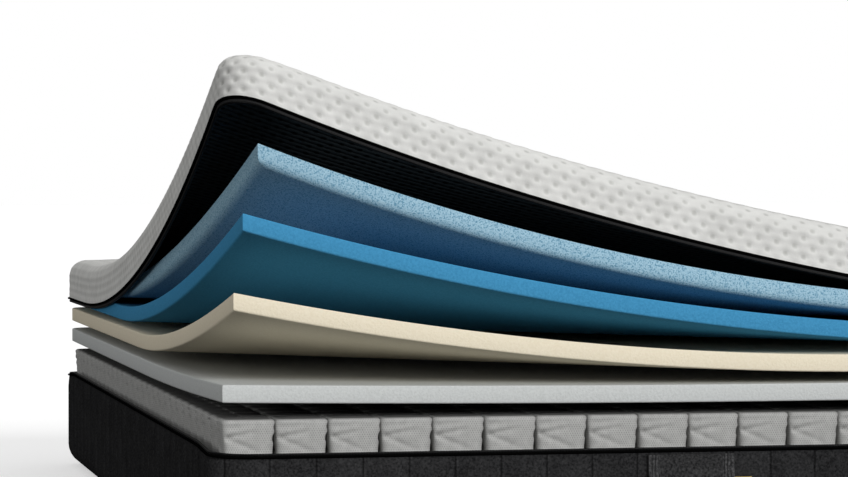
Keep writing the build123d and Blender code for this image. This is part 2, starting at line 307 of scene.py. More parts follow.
channel_share = add_node(
    tree, "ShaderNodeMath", {"operation": "FRACT"}, {0: channel_place.outputs["X"]}
)
# Painted shade: dark along the quilting grooves, and graded across each channel.
painted_channel_shade = add_node(tree, "ShaderNodeValToRGB", {}, {"Fac": channel_share.outputs[0]})
stops = painted_channel_shade.color_ramp.elements
stops[0].color = linear("#868686")
stops[1].color = linear("#a0a0a0")
for stop, tone_here in ((0.03, "#ffffff"), (0.08, "#e2e2e2"), (0.5, "#ececec"), (0.95, "#f6f6f6")):
    stops.new(stop).color = linear(tone_here)
quilted = add_node(
    tree,
    "ShaderNodeMix",
    {"data_type": "RGBA", "blend_type": "MULTIPLY", 0: 1.0},
    {6: yarn.outputs["Color"], 7: painted_channel_shade.outputs["Color"]},
)
tree.links.new(quilted.outputs[2], shader.inputs["Base Color"])
knit = add_node(
    tree,
    "ShaderNodeBump",
    {"Strength": 0.5, "Distance": 0.0006},
    {"Height": fleck.outputs["Fac"]},
)
tree.links.new(knit.outputs["Normal"], shader.inputs["Normal"])
shader.inputs["Specular IOR Level"].default_value = 0.0

long_side = 2 * (TRAY_HALF[0] - CORNER_R) + CORNER_R * math.pi / 2
short_side = 2 * (TRAY_HALF[1] - CORNER_R) + CORNER_R * math.pi / 2
seam_start = 0.0
for panel_name, panel_length in (
    ("front_border", long_side),
    ("right_border", short_side),
    ("rear_border", long_side),
    ("left_border", short_side),
):
    channels = round(panel_length / CHANNEL)
    channel = panel_length / channels
    panel = band(seam_start, seam_start + panel_length, 16 * channels, 20, tray_profile)
    surface_map = panel.loops.layers.uv["surface"]
    for face in panel.faces:
        for loop in face.loops:
            loop[surface_map].uv.x = (loop[surface_map].uv.x - seam_start) / channel
    raise_end(panel)
    border = finish_piece(
        panel, f"quilted_{panel_name}", "root", tray_fabric, [panel_name]
    )
    thickness = border.modifiers.new("wadding", "SOLIDIFY")
    thickness.thickness = PANEL_T
    thickness.offset = -1.0
    seam_start += panel_length

# --- Base panel -------------------------------------------------------------------------------
# A flat non-slip cloth with rubber dots printed on it, sewn to the borders where they roll
# under. It keeps its CAD shape.

base_cloth, tree, shader, place = start_material("dotted_non_slip_cloth", 0.85)
# Dots about 2 mm across, 6 mm apart.
dots = add_node(
    tree, "ShaderNodeTexVoronoi", {"Scale": 166.0, "Randomness": 0.0}, {"Vector": place}
)
dot = add_node(tree, "ShaderNodeValToRGB", {}, {"Fac": dots.outputs["Distance"]})
dot.color_ramp.elements[0].position = 0.20
dot.color_ramp.elements[0].color = linear("#8f8f90")
dot.color_ramp.elements[1].position = 0.26
dot.color_ramp.elements[1].color = linear("#232324")
tree.links.new(dot.outputs["Color"], shader.inputs["Base Color"])


def refinish(node, material):
    """Give a part that keeps its CAD shape its finished material."""
    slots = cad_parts[node].data.materials
    slots.clear()
    slots.append(material)


refinish("base_panel", base_cloth)

# --- Rim of the tray: piping, zip tape and zip teeth --------------------------------------------
# A black bias-bound cord over the border's top edge, a woven tape standing on it, and a nylon
# coil along the tape. The cord and the coil are tubes run round the outline.

PIPING_R = 0.0015
TEETH_R = 0.0013
ZIP_PITCH = 0.003
ZIP_TAPE = (0.00275, 0.0015)


def tube_profile(inset, height, radius, rib=0.0, pitch=1.0):
    """Section of a round cord, with ribs along it if it has any."""

    def profile(s, v):
        swell = radius * (1 + rib * math.cos(2 * math.pi * s / pitch))
        turn = 2 * math.pi * v
        return inset + swell * math.cos(turn), height + swell * math.sin(turn)

    return profile


def strip_profile(inset, thickness, low, high):
    """Section of a flat tape on edge, all the way round it."""
    ring = [(inset, high), (inset, low), (inset + thickness, low), (inset + thickness, high)]

    def profile(s, v):
        return ring[round(v * 4) % 4]

    return profile


def closed_band(columns, rows, profile, half, radius):
    """A band right round the outline, closed both ways."""
    round_it = outline_length(*half, radius)
    bm = band(0, round_it, columns, rows, profile, half, radius)
    bmesh.ops.remove_doubles(bm, verts=bm.verts, dist=1e-6)
    return bm


OUTER_HALF = (LENGTH / 2, WIDTH / 2)
OUTER_R = CORNER_R + PIPING_PROUD
outer_round = outline_length(*OUTER_HALF, OUTER_R)
teeth_columns = 2 * round(outer_round / ZIP_PITCH)

piping_cord, tree, shader, place = start_material("black_bias_piping", 0.55, "UV")
# Diagonal weave of the binding, one thread every millimetre.
thread = add_node(
    tree, "ShaderNodeMapping", {"Rotation": (0, 0, math.radians(45))}, {"Vector": place}
)
twill = add_node(
    tree,
    "ShaderNodeTexWave",
    {"Scale": 320.0, "Distortion": 0.5},
    {"Vector": thread.outputs["Vector"]},
)
cloth_bump = add_node(
    tree, "ShaderNodeBump", {"Strength": 0.4, "Distance": 0.0003}, {"Height": twill.outputs["Fac"]}
)
tree.links.new(cloth_bump.outputs["Normal"], shader.inputs["Normal"])
binding_fade = add_node(tree, "ShaderNodeValToRGB", {}, {"Fac": twill.outputs["Fac"]})
binding_fade.color_ramp.elements[0].color = linear("#030303")
binding_fade.color_ramp.elements[1].color = linear("#090909")
tree.links.new(binding_fade.outputs["Color"], shader.inputs["Base Color"])
shader.inputs["Specular IOR Level"].default_value = 0.0

zip_tape, tree, shader, place = start_material("woven_zip_tape", 0.8, "UV")
# A herringbone polyester tape, dark grey.
rows_of_thread = add_node(
    tree, "ShaderNodeTexWave", {"Scale": 260.0, "Distortion": 1.0}, {"Vector": place}
)
tape_tone = add_node(tree, "ShaderNodeValToRGB", {}, {"Fac": rows_of_thread.outputs["Fac"]})
tape_tone.color_ramp.elements[0].color = linear("#111112")
tape_tone.color_ramp.elements[1].color = linear("#1e1e1f")
tree.links.new(tape_tone.outputs["Color"], shader.inputs["Base Color"])


def mottled(tree, place, grain, dark, light, low=0.0, high=1.0):
    """A tone that wanders between two colours. Gives the grain's height and the colour."""
    height = add_node(tree, "ShaderNodeTexNoise", grain, {"Vector": place}).outputs["Fac"]
    tone = add_node(tree, "ShaderNodeValToRGB", {}, {"Fac": height})
    for stop, position, colour in zip(tone.color_ramp.elements, (low, high), (dark, light)):
        stop.position = position
        stop.color = linear(colour)
    return height, tone.outputs["Color"]


zip_nylon, tree, shader, place = start_material("black_nylon_coil", 0.38)
# Drawn nylon wire, smooth and slightly glossy, with a trace of dust.
_, colour = mottled(tree, place, {"Scale": 90.0, "Detail": 4.0}, "#060607", "#121213")
tree.links.new(colour, shader.inputs["Base Color"])
shader.inputs["Specular IOR Level"].default_value = 0.1

CORD_INSET = 0.0012
TEETH_INSET = PIPING_PROUD + 0.0015
TEETH_RIB = 0.16


def zip_edge(name, body, side, shaping, cord_z, tape, teeth_z):
    """Cord, tape and coil of one half of the zip, each shaped along with the cloth it is on."""
    cord = tube_profile(CORD_INSET, cord_z, PIPING_R)
    flat = strip_profile(*ZIP_TAPE, *tape)
    coil = tube_profile(TEETH_INSET, teeth_z, TEETH_R, TEETH_RIB, ZIP_PITCH)
    for part, columns, rows, profile, slot, material, node in (
        ("piping_cord", 900, 8, cord, "piping", piping_cord, f"{name}_piping"),
        ("zip_tape", 900, 4, flat, "zip_tape", zip_tape, f"{side}_zip_tape"),
        ("zip_teeth", teeth_columns, 6, coil, "zip_teeth", zip_nylon, f"{side}_zip_teeth"),
    ):
        bm = closed_band(columns, rows, profile, OUTER_HALF, OUTER_R)
        shaping(bm)
        finish_piece(bm, f"{name}_{part}", body, material, [node], profile is not flat)


tape_low, tape_high = TRAY_TOP - 0.001, TRAY_TOP + 0.003
zip_edge(
    "rim", "root", "lower", raise_end, TRAY_TOP + PIPING_R, (tape_low, tape_high), tape_high + 0.001
)

# --- Base foam --------------------------------------------------------------------------------
# A firm foam slab under the springs. It keeps its CAD shape.


def foam_material(name, light, dark, cell_mm, speck=None, speck_share=0.0):
    """Open-cell foam, cut on a band saw: dull, with fine pores and a faint mottled tone.

    speck is the colour of gel beads or pigment grains that show on the cut face.
    """
    material, tree, shader, place = start_material(name, 0.95)
    pore_grain = {"Scale": 1000 / cell_mm / 2, "Detail": 2.0, "Roughness": 0.6}
    cells, colour = mottled(tree, place, pore_grain, dark, light, 0.36, 0.64)
    if speck:
        grains = add_node(
            tree,
            "ShaderNodeTexNoise",
            {"Scale": 620.0, "Detail": 2.0, "Roughness": 0.6},
            {"Vector": place},
        )
        grain = add_node(tree, "ShaderNodeValToRGB", {}, {"Fac": grains.outputs["Fac"]})
        grain.color_ramp.elements[0].position = speck_share
        grain.color_ramp.elements[0].color = (1, 1, 1, 1)
        grain.color_ramp.elements[1].position = speck_share + 0.08
        grain.color_ramp.elements[1].color = (0, 0, 0, 1)
        mixed = add_node(
            tree,
            "ShaderNodeMix",
            {"data_type": "RGBA"},
            {0: grain.outputs["Color"], 6: colour},
        )
        mixed.inputs[7].default_value = linear(speck)
        colour = mixed.outputs[2]
    tree.links.new(colour, shader.inputs["Base Color"])
    pores = add_node(
        tree,
        "ShaderNodeBump",
        {"Strength": 0.6, "Distance": 0.0007},
        {"Height": cells},
    )
    tree.links.new(pores.outputs["Normal"], shader.inputs["Normal"])
    shader.inputs["Specular IOR Level"].default_value = 0.05
    return material


base_foam_material = foam_material("firm_grey_foam", "#cfcfca", "#b4b4ae", 1.6)
refinish("base_foam", base_foam_material)

# --- Pocket springs -----------------------------------------------------------------------------
# 37 strips of 28 spunbond pockets, welded between the pockets and glued strip to strip. Every
# pocket is a rounded box drawn in at the middle, with a domed top and creases off its welds.

STRIPS = 37
POCKETS = 28
UNIT_HALF = (0.987, 0.737)
POCKET_LOW = 0.026
POCKET_TOP = 0.165
STRIP_PITCH = 2 * UNIT_HALF[0] / STRIPS
POCKET_PITCH = 2 * UNIT_HALF[1] / POCKETS
POCKET_HALF = 0.0265
BULGE = 0.0013
CREASE_DEPTH = 0.0027
FOLD_DEPTH = 0.0015
WELD_DEPTH = 0.0085
WELD_DROP = 0.0065
LEAN = 0.0003
SLIT = 0.0022
SHOULDER = 0.004
DOME = 0.0008
FACE_SHOWN = 0.040


def staggered(tree, place, along, over):
    """A field that peaks in staggered rows, and how far over it each point lies in radians.

    along and over are radians to the unit of the coordinates that it reads.
    """
    scaled = add_node(
        tree, "ShaderNodeVectorMath", {"operation": "MULTIPLY", 1: (along, over, 0.0)}, {0: place}
    )
    turns = add_node(tree, "ShaderNodeSeparateXYZ", {}, {"Vector": scaled.outputs[0]})
    waves = [
        add_node(tree, "ShaderNodeMath", {"operation": "COSINE"}, {0: turns.outputs[axis]})
        for axis in "XY"
    ]
    links = {0: waves[0].outputs[0], 1: waves[1].outputs[0]}
    field = add_node(tree, "ShaderNodeMath", {"operation": "MULTIPLY"}, links)
    return field.outputs[0], turns.outputs["Y"]


pocket_fabric, tree, shader, place = start_material("spunbond_polypropylene", 0.8, "UV")
# Bonded with rows of small dots, 2.6 mm apart and staggered, that press the fibres flat. The
# cloth carries painted shade over the top, where the foam sheet above keeps it in shadow.
DOT_PITCH = 0.0026
split = add_node(tree, "ShaderNodeSeparateXYZ", {}, {"Vector": place})
dot_field, _ = staggered(tree, place, 2 * math.pi / DOT_PITCH, math.pi / DOT_PITCH * 1.15)
fibre_place = add_node(tree, "ShaderNodeTexCoord").outputs["Object"]
fibres = add_node(
    tree, "ShaderNodeTexNoise", {"Scale": 160.0, "Detail": 4.0}, {"Vector": fibre_place}
)
bonded = add_node(tree, "ShaderNodeMapRange", {1: 0.3, 2: 0.9}, {0: dot_field})
tone = add_node(tree, "ShaderNodeMix", {"data_type": "RGBA"}, {0: bonded.outputs[0]})
tone.inputs[6].default_value = linear("#b4b4b2")
tone.inputs[7].default_value = linear("#7f7f7d")
cloudy = add_node(
    tree,
    "ShaderNodeMapRange",
    {1: 0.3, 2: 0.7, 3: 0.9, 4: 1.06},
    {0: fibres.outputs["Fac"]},
)
shaded = add_node(
    tree, "ShaderNodeVectorMath", {"operation": "SCALE"}, {0: tone.outputs[2], 3: cloudy.outputs[0]}
)
# Painted shade over the pocket tops, which lie in the shadow of the sheet above.
top_shade_share = add_node(
    tree,
    "ShaderNodeMapRange",
    {1: POCKET_TOP - POCKET_LOW - 0.001, 2: POCKET_TOP - POCKET_LOW + 0.004, 3: 1.0, 4: 0.35},
    {0: split.outputs["Y"]},
)
painted_top_shade = add_node(
    tree,
    "ShaderNodeVectorMath",
    {"operation": "SCALE"},
    {0: shaded.outputs[0], 3: top_shade_share.outputs[0]},
)
tree.links.new(painted_top_shade.outputs[0], shader.inputs["Base Color"])
dot_bump = add_node(
    tree,
    "ShaderNodeBump",
    {"Strength": 0.35, "Distance": 0.0004, "invert": True},
    {"Height": bonded.outputs[0]},
)
tree.links.new(dot_bump.outputs["Normal"], shader.inputs["Normal"])
shader.inputs["Specular IOR Level"].default_value = 0.1


def crease(along, height, start, end, width):
    """Depth of a valley between two points on a pocket's face."""
    a, b, p = Vector(start), Vector(end), Vector((along, height))
    t = max(0.0, min(1.0, (p - a).dot(b - a) / (b - a).length_squared))
    distance = (p - a - t * (b - a)).length
    return math.exp(-((distance / width) ** 2)) * (1 - 0.7 * t)


def pocket_steps(low_rows, face_rows, shoulder_rows, top_rows):
    """Distances up a pocket's side and over its top, crowded where its shape changes."""
    side = POCKET_TOP - POCKET_LOW - SHOULDER
    stretches = (
        (low_rows, side - FACE_SHOWN),
        (face_rows, FACE_SHOWN),
        (shoulder_rows, SHOULDER * math.pi / 2),
        (top_rows, POCKET_HALF - SHOULDER),
    )
    steps = [0.0]
    for rows, length in stretches:
        start = steps[-1]
        steps += [start + length * (row + 1) / rows for row in range(rows)]
    return steps


def make_pocket(columns, *rows):
    """One pocket standing at the origin: a tube of cloth, squared, pleated and domed over."""
    steps = pocket_steps(*rows)
    bm = bmesh.new()
    bmesh.ops.create_grid(bm, x_segments=4 * columns, y_segments=len(steps) - 1, size=0.5)
    uv = bm.loops.layers.uv.new("surface")
    height = POCKET_TOP - POCKET_LOW
    side = height - SHOULDER
    arc = SHOULDER * math.pi / 2
    spots = {}
    for vertex in bm.verts:
        row = round((vertex.co.y + 0.5) * (len(steps) - 1))
        spots[vertex] = ((vertex.co.x + 0.5) * 4, steps[row])
    for face in bm.faces:
        for loop in face.loops:
            around, d = spots[loop.vert]
            loop[uv].uv = (around * 2 * POCKET_HALF, d)
    for vertex, (around, d) in spots.items():
        face_number, along = divmod(around, 1)
        if d < side:
            inset, z = 0.0, d
        elif d < side + arc:
            turn = (d - side) / SHOULDER
            inset, z = SHOULDER * (1 - math.cos(turn)), side + SHOULDER * math.sin(turn)
        else:
            inset, z = SHOULDER + d - side - arc, height
        x = 2 * along - 1
        below = height - z
        narrow = SLIT * min(1.0, max(0.0, (below - 0.010) / 0.022))
        reach = max(POCKET_HALF - narrow - inset, 0.0)
        share = reach / POCKET_HALF
        out = reach + BULGE * (1 - x * x) * share
        if 0.001 < below < 0.06:
            spot = (x * POCKET_HALF, -below)
            sharp = min(1.0, 12 * (1 - abs(x)))
            out -= CREASE_DEPTH * sharp * crease(*spot, (-0.0245, -0.019), (0.006, -0.0130), 0.0021)
            out -= CREASE_DEPTH * sharp * crease(*spot, (-0.0245, -0.019), (0.012, -0.0340), 0.0021)
            out -= FOLD_DEPTH * sharp * crease(*spot, (-0.0245, -0.009), (0.006, -0.0065), 0.0024)
        round_off = 0.07 * abs(x) ** 9
        turn = math.pi / 2 * face_number
        side_x = x * reach * (1 - round_off)
        side_y = -out * (1 - round_off)
        vertex.co.x = side_x * math.cos(turn) - side_y * math.sin(turn)
        vertex.co.y = side_x * math.sin(turn) + side_y * math.cos(turn)
        vertex.co.z = POCKET_LOW + z
        if d > side:
            vertex.co.z -= DOME * share**2 * (z - side) / SHOULDER
    bmesh.ops.remove_doubles(bm, verts=bm.verts, dist=1e-5)
    bmesh.ops.holes_fill(bm, edges=[e for e in bm.edges if e.is_boundary], sides=0)
    bmesh.ops.recalc_face_normals(bm, faces=bm.faces)
    data = bpy.data.meshes.new("pocket")
    bm.to_mesh(data)
    bm.free()
    return data


fine_pocket = make_pocket(18, 2, 20, 4, 3)
plain_pocket = make_pocket(3, 1, 1, 2, 1)
random.seed(28)
for node_number in range(1, (STRIPS + 1) // 2 + 1):
    strips = bmesh.new()
    for strip in range(2 * node_number - 2, min(2 * node_number, STRIPS)):
        x = -UNIT_HALF[0] + (strip + 0.5) * STRIP_PITCH
        for row in range(POCKETS):
            y = -UNIT_HALF[1] + (row + 0.5) * POCKET_PITCH
            edge = strip in (0, STRIPS - 1) or row in (0, POCKETS - 1)
            before = len(strips.verts)
            strips.from_mesh(fine_pocket if edge else plain_pocket)
            strips.verts.ensure_lookup_table()
            new = strips.verts[before:]
            lean = Vector((random.uniform(-LEAN, LEAN), random.uniform(-LEAN, LEAN), 0))
            for vertex in new:
                off = vertex.co.y / POCKET_HALF
                outer_face = strip == 0 and (row > 0 or off > 0)
                if outer_face and vertex.co.x < 0:
                    weld = abs(off) ** 4 * (vertex.co.x / POCKET_HALF) ** 2
                    vertex.co.x += WELD_DEPTH * weld
                    if vertex.co.z > POCKET_TOP - 0.006:
                        vertex.co.z -= WELD_DROP * abs(off) ** 3
                vertex.co += Vector((x, y, 0)) + lean * (vertex.co.z / POCKET_TOP)
    node = f"pocket_strips_{node_number:02d}"
    piece = finish_piece(strips, f"sewn_{node}", "root", pocket_fabric, [node])
    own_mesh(piece)

# --- Coils --------------------------------------------------------------------------------------
# Barrel coils of 2 mm drawn steel wire inside the pockets at the opened corner, each a wire
# section spun up a screw.

spring_wire, tree, shader, place = start_material("drawn_spring_wire", 0.32)
# Drawing leaves fine lines along the wire and a thin grey oxide.
shader.inputs["Metallic"].default_value = 1.0
_, colour = mottled(tree, place, {"Scale": 300.0, "Detail": 3.0}, "#6f7276", "#a9acb0")
tree.links.new(colour, shader.inputs["Base Color"])

COILS = 4
COIL_TURNS = 5
COIL_STEPS = 28 * COIL_TURNS
COIL_R = 0.020
WIRE_R = 0.001
first_row = -UNIT_HALF[1] + POCKET_PITCH / 2
coil_low, coil_high = POCKET_LOW + 0.002, POCKET_TOP - 0.006
coils = bmesh.new()
for strip in range(COILS):
    centre = Vector((-UNIT_HALF[0] + (strip + 0.5) * STRIP_PITCH, first_row, 0))
    section = bmesh.ops.create_circle(coils, segments=8, radius=WIRE_R)["verts"]
    for vertex in section:
        vertex.co = centre + Vector((COIL_R + vertex.co.x, 0, coil_low + vertex.co.y))
    ring = list({e for v in section for e in v.link_edges})
    bmesh.ops.spin(
        coils,
        geom=section + ring,
        cent=centre,
        axis=(0, 0, 1),
        dvec=(0, 0, (coil_high - coil_low) / COIL_STEPS),
        angle=2 * math.pi * COIL_TURNS,
        steps=COIL_STEPS,
        use_merge=False,
    )
bmesh.ops.holes_fill(coils, edges=[e for e in coils.edges if e.is_boundary], sides=0)
coil_piece = finish_piece(coils, "wound_coils", "root", spring_wire, ["spring_coils"])
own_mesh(coil_piece)

# --- Foam sheets --------------------------------------------------------------------------------
# Four sheets of foam cut on a saw: support, transition, comfort and gel memory foam. Each is
# flat, then curls up on an arc towards the opened corner, which draws in as it rises.

LOWER_SHEET_INSET = 0.006
UPPER_SHEET_INSET = 0.008
SHEET_CORNER_R = 0.042
CROWDING = 0.82
GEL_CROWDING = 0.55
SAWN_EDGE = 0.0018
TOP_EDGE = 0.0015
GEL_EDGE = 0.007


class Curl:
    """How a layer rises towards the opened corner, and how far the corner draws in."""

    def __init__(self, lift, reach_x, reach_y, draw_in):
        self.lift, self.reach, self.draw_in = lift, (reach_x, reach_y), draw_in
        self.run = 1 / math.hypot(1 / reach_x, 1 / reach_y)
        self.across = (self.run / reach_x, self.run / reach_y)
        corner_run = draw_in * sum(self.across)
        self.radius = ((self.run - corner_run) ** 2 + lift**2) / (2 * lift)

    def height(self, x, y):
        """Lift at a point of the plan."""
        s = (x + LENGTH / 2) * self.across[0] + (y + WIDTH / 2) * self.across[1]
        if s >= self.run:
            return 0.0
        return self.radius - math.sqrt(self.radius**2 - (self.run - s) ** 2)

    def place(self, x, y, half):
        """The plan point that a point of the flat sheet moves to."""
        front = self.draw_in * max(0.0, 1 - (x + half[0]) / self.reach[0]) ** 2
        left = self.draw_in * max(0.0, 1 - (y + half[1]) / self.reach[1]) ** 2
        fade_x = max(0.0, (half[0] - x) / (2 * half[0])) ** 2
        fade_y = max(0.0, (half[1] - y) / (2 * half[1])) ** 2
        return x + left * fade_x, y + front * fade_y


def eased(t, grip):
    """Spread grid lines so that they crowd towards both edges."""
    return t - grip * math.sin(2 * math.pi * t) / (2 * math.pi)


def round_corners(x, y, half, radius, keep_opened):
    """Pull a square plan's corners onto arcs, except the opened one where it stays square."""
    cx, cy = half[0] - radius, half[1] - radius
    a, b = abs(x) - cx, abs(y) - cy
    if a <= 0 or b <= 0 or (keep_opened and x < 0 and y < 0):
        return x, y
    scale = max(a, b) / math.hypot(a, b)
    return math.copysign(cx + a * scale, x), math.copysign(cy + b * scale, y)


def curled_slab(low, thickness, curl, half, radius, edge, low_edge, grip):
    """A slab of even upright thickness, curled, with its upper and lower edges rounded."""
    bm = bmesh.new()
    bmesh.ops.create_grid(bm, x_segments=100, y_segments=80, size=0.5)
    for vertex in bm.verts:
        x = (2 * eased(vertex.co.x + 0.5, grip) - 1) * half[0]
        y = (2 * eased(vertex.co.y + 0.5, grip) - 1) * half[1]
        x, y = round_corners(x, y, half, radius, True)
        x, y = curl.place(x, y, half)
        vertex.co = (x, y, low + curl.height(x, y))
    top = bmesh.ops.extrude_face_region(bm, geom=bm.faces[:])
    risen = [g for g in top["geom"] if isinstance(g, bmesh.types.BMVert)]
    bmesh.ops.translate(bm, verts=risen, vec=(0, 0, thickness))
    bmesh.ops.recalc_face_normals(bm, faces=bm.faces)
    raised = set(risen)
    walls = {f for f in bm.faces if 0 < sum(v in raised for v in f.verts) < len(f.verts)}
    rims = [e for e in bm.edges if sum(f in walls for f in e.link_faces) == 1]
    upper = [e for e in rims if e.verts[0] in raised]
    lower = [e for e in rims if e.verts[0] not in raised]
    for rim, offset in ((upper, edge), (lower, low_edge)):
        bmesh.ops.bevel(
            bm, geom=rim, offset=offset, segments=3, profile=0.5, affect="EDGES", material=-1
        )
    return bm


def foam_sheet(layer, node, inset, low, thickness, curl, material, low_edge):
    """One foam sheet. The gel sheet's lower edge is rounded further, so its grid is wider there."""
    half = (LENGTH / 2 - inset, WIDTH / 2 - inset)
    grip = GEL_CROWDING if low_edge == GEL_EDGE else CROWDING
    bm = curled_slab(low, thickness, curl, half, SHEET_CORNER_R, TOP_EDGE, low_edge, grip)
    sheet = finish_piece(bm, f"{layer}_foam_sheet", f"{layer}_layer", material, [node])
    sheet.data.set_sharp_from_angle(angle=math.radians(40))


support_curl = Curl(0.0055, 0.600, 0.600, 0.007)
transition_curl = Curl(0.070, 0.700, 0.660, 0.020)
comfort_curl = Curl(0.1265, 0.915, 0.875, 0.029)
gel_curl = Curl(0.1715, 0.926, 1.000, 0.047)
cover_curl = Curl(0.260, 1.371, 1.250, 0.012)

grey_foam = foam_material("light_grey_polyurethane_foam", "#d0d3d2", "#c7cac9", 1.2)
cream_foam = foam_material("cream_polyurethane_foam", "#f4ead3", "#efe4cb", 1.2)
blue_foam = foam_material("blue_polyurethane_foam", "#4a9ac8", "#428fbc", 1.2)
gel_foam = foam_material("gel_infused_memory_foam", "#b0d4e6", "#9fc6db", 1.2, "#6f9fbb", 0.40)

lower, upper = LOWER_SHEET_INSET, UPPER_SHEET_INSET
foam_sheet("support", "support_foam", lower, 0.176, 0.018, support_curl, grey_foam, SAWN_EDGE)
foam_sheet("transition", "transition_foam", lower, 0.205, 0.018, transition_curl, cream_foam, SAWN_EDGE)
foam_sheet("comfort", "comfort_foam", upper, 0.230, 0.018, comfort_curl, blue_foam, SAWN_EDGE)
foam_sheet("gel", "gel_memory_foam", upper, 0.255, 0.020, gel_curl, gel_foam, GEL_EDGE)

# --- Upper cover: quilted knit ------------------------------------------------------------------
# White double knit quilted to thin wadding with rows of staggered dimples. The border and the
# rolled top edge are one band; the rest of the top is a panel that meets it.

COVER_LOW = 0.237
COVER_TOP = 0.292
COVER_CEILING = 0.280
EDGE_R = 0.022
EDGE_FLAT = 0.014
DIMPLE = (0.0195, 0.0098)
DIMPLE_DEPTH = 0.0026
CORNER_DROOP = 0.005
COVER_WALL = COVER_TOP - COVER_LOW - EDGE_R

cover_knit, tree, shader, place = start_material("white_quilted_knit", 0.9)
# Fine loops about 1 mm apart, a little cloudiness where the wadding lies unevenly, and painted
# shade in the dimples, where the quilting pulls the cloth down. The UV map counts in dimples.
surface = add_node(tree, "ShaderNodeUVMap", {"uv_map": "surface"})
dimple_field, _ = staggered(tree, surface.outputs["UV"], 2 * math.pi, math.pi)
# Painted shade, deepest in each dimple.
dimple_shade_share = add_node(tree, "ShaderNodeMapRange", {1: 0.45, 2: 1.0}, {0: dimple_field})
_, white = mottled(tree, place, {"Scale": 45.0, "Detail": 2.0}, "#dadad7", "#e6e6e3", 0.3, 0.7)
painted_dimple_shade = add_node(
    tree,
    "ShaderNodeMix",
    {"data_type": "RGBA", "blend_type": "MULTIPLY", 7: linear("#dfdfde")},
    {0: dimple_shade_share.outputs[0], 6: white},
)
tree.links.new(painted_dimple_shade.outputs[2], shader.inputs["Base Color"])
loops = add_node(tree, "ShaderNodeTexNoise", {"Scale": 520.0, "Detail": 2.0}, {"Vector": place})
loop_bump = add_node(
    tree, "ShaderNodeBump", {"Strength": 0.3, "Distance": 0.0004}, {"Height": loops.outputs["Fac"]}
)
tree.links.new(loop_bump.outputs["Normal"], shader.inputs["Normal"])
shader.inputs["Specular IOR Level"].default_value = 0.1


def dimple(along, over):
    """Depth of the quilting at a place counted in dimples, from 0 on a ridge to 1 in a dimple."""
    wave = math.cos(2 * math.pi * along) * math.cos(math.pi * over)
    return 0.85 * (0.5 + 0.5 * wave) ** 3 + 0.15 * math.cos(math.pi * over) ** 2


cover_round = outline_length(*TRAY_HALF, CORNER_R)
border_dimples = round(cover_round / DIMPLE[0])
cover_wrap = COVER_WALL + EDGE_R * math.pi / 2 + EDGE_FLAT


def cover_edge_profile(s, v):
    """From the hem up the border, over the rolled edge and a little way across the top."""
    arc = EDGE_R * math.pi / 2
    d = v * cover_wrap
    fade = min(1.0, d / 0.004) * min(1.0, (cover_wrap - d) / 0.01)
    fade *= 1 - 0.7 * min(1.0, max(0.0, d - COVER_WALL) / arc)
    sink = DIMPLE_DEPTH * fade * dimple(s / cover_round * border_dimples, d / DIMPLE[1])
    if d < COVER_WALL:
        return sink, COVER_LOW + d
    if d < COVER_WALL + arc:
        turn = (d - COVER_WALL) / EDGE_R
        reach = EDGE_R - sink
        centre = COVER_TOP - EDGE_R
        return EDGE_R - reach * math.cos(turn), centre + reach * math.sin(turn)
    return EDGE_R + d - COVER_WALL - arc, COVER_TOP - sink


def curl_up(bm, half):
    """Lift a finished flat part of the cover into its curl, its corners drooping a little."""
    for vertex in bm.verts:
        x, y, z = vertex.co
        corner = math.hypot(half[0] - abs(x), half[1] - abs(y)) / CORNER_R
        share = max(0.0, (z - COVER_LOW) / (COVER_TOP - COVER_LOW))
        droop = CORNER_DROOP * share * math.exp(-(corner**2))
        x, y = cover_curl.place(x, y, half)
        vertex.co = (x, y, z - droop + cover_curl.height(x, y))


def count_dimples(bm, along, over):
    """Restate a UV map that is in metres as a count of dimples each way."""
    uv = bm.loops.layers.uv["surface"]
    for face in bm.faces:
        for loop in face.loops:
            loop[uv].uv = (loop[uv].uv.x / along, loop[uv].uv.y / over)


cover_band = closed_band(7 * border_dimples, 42, cover_edge_profile, TRAY_HALF, CORNER_R)
count_dimples(cover_band, cover_round / border_dimples, DIMPLE[1])
edge = [e for e in cover_band.edges if e.is_boundary and e.verts[0].co.z < COVER_LOW + 0.01]
for inward, height in ((0.003, COVER_LOW), (0.003, COVER_CEILING)):
    turned = bmesh.ops.extrude_edge_only(cover_band, edges=edge)["geom"]
    for vertex in [g for g in turned if isinstance(g, bmesh.types.BMVert)]:
        if height == COVER_LOW:
            reach_x = min(TRAY_HALF[0] - CORNER_R, abs(vertex.co.x))
            reach_y = min(TRAY_HALF[1] - CORNER_R, abs(vertex.co.y))
            core = Vector((math.copysign(reach_x, vertex.co.x), math.copysign(reach_y, vertex.co.y)))
            vertex.co.xy += (core - vertex.co.xy).normalized() * inward
        vertex.co.z = height
    edge = [g for g in turned if isinstance(g, bmesh.types.BMEdge) and g.is_boundary]
curl_up(cover_band, TRAY_HALF)
cover_edge = finish_piece(
    cover_band, "cover_knit_border", "cover", cover_knit, ["cover_border"]
)

